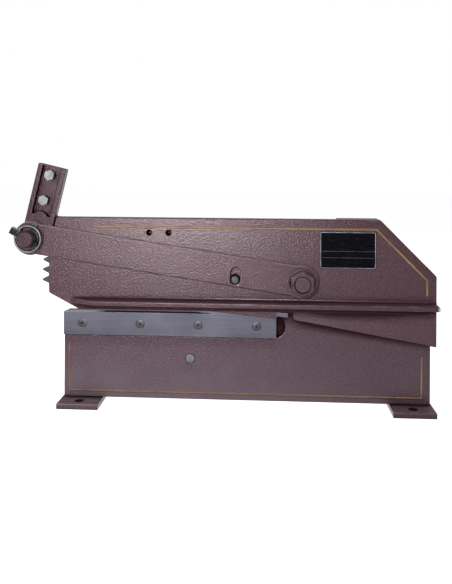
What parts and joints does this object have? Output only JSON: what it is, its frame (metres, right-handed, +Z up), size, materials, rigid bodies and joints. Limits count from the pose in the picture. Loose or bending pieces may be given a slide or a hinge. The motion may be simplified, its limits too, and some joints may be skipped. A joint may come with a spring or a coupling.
{
  "type": "bench shear",
  "caption": "Hand-lever plate shear for the bench: fixed lower blade, upper blade on a pivoted knife arm, geared lever socket, footed body with bench bolt holes.",
  "frame": {"origin": "on the bench, in the middle of the four holding-down holes", "axes": "+X along the blades towards the pivot, +Y away from the operator's side with the strap, +Z up"},
  "size_m": [0.5734, 0.1169, 0.3381],
  "materials": {
    "paint": "hammertone gloss",
    "blade_steel": "ground",
    "zinc": "zinc plated",
    "black_steel": "blackened",
    "bronze": "machined",
    "plate": "printed black"
  },
  "bodies": {
    "frame": {"base_body": "paint", "left_foot": "paint", "right_foot": "paint", "foot_screws": "black_steel", "frame_bolt": "zinc", "lower_blade": "blade_steel", "lower_blade_screws": "black_steel", "front_cheek": "paint", "cheek_bolts": "black_steel", "toothed_sector": "black_steel", "sector_screws": "black_steel", "stop_pin": "blade_steel", "nameplate": "plate", "pivot_bolt": "paint", "pivot_rear_washer": "zinc", "pivot_front_washer": "paint", "pivot_nut": "paint"},
    "arm": {"knife_arm": "paint", "upper_blade": "blade_steel", "upper_blade_screws": "black_steel", "arm_bush": "bronze", "strap_arm": "paint", "strap_bush": "bronze", "lever_pin": "paint", "lever_pin_nut": "zinc", "pin_collar": "black_steel", "linch_pin": "zinc", "oiler": "zinc"},
    "lever": {"hand_lever": "paint", "lever_pinion": "black_steel", "pinion_bush": "bronze", "pinion_dowels": "blade_steel", "handle_bolts": "zinc", "handle_nuts": "zinc"},
    "ring": {"linch_ring": "zinc"}
  },
  "joints": [
    {"name": "arm_pivot", "type": "hinge", "parent": "frame", "child": "arm", "pos_m": [0.077, 0, 0.181], "axis": [0, -1, 0], "range_deg": [0, 6.5]},
    {"name": "lever_swing", "type": "hinge", "parent": "arm", "child": "lever", "pos_m": [-0.29081, 0, 0.23531], "axis": [0, -1, 0], "range_deg": [0, 116]},
    {"name": "ring_flip", "type": "hinge", "parent": "arm", "child": "ring", "pos_m": [-0.30463, -0.0619, 0.24297], "axis": [-0.4848, 0, -0.8746], "range_deg": [0, 150]}
  ],
  "couplings": [
    {"joint": "lever_swing", "follows": "arm_pivot", "ratio": 17.778}
  ]
}
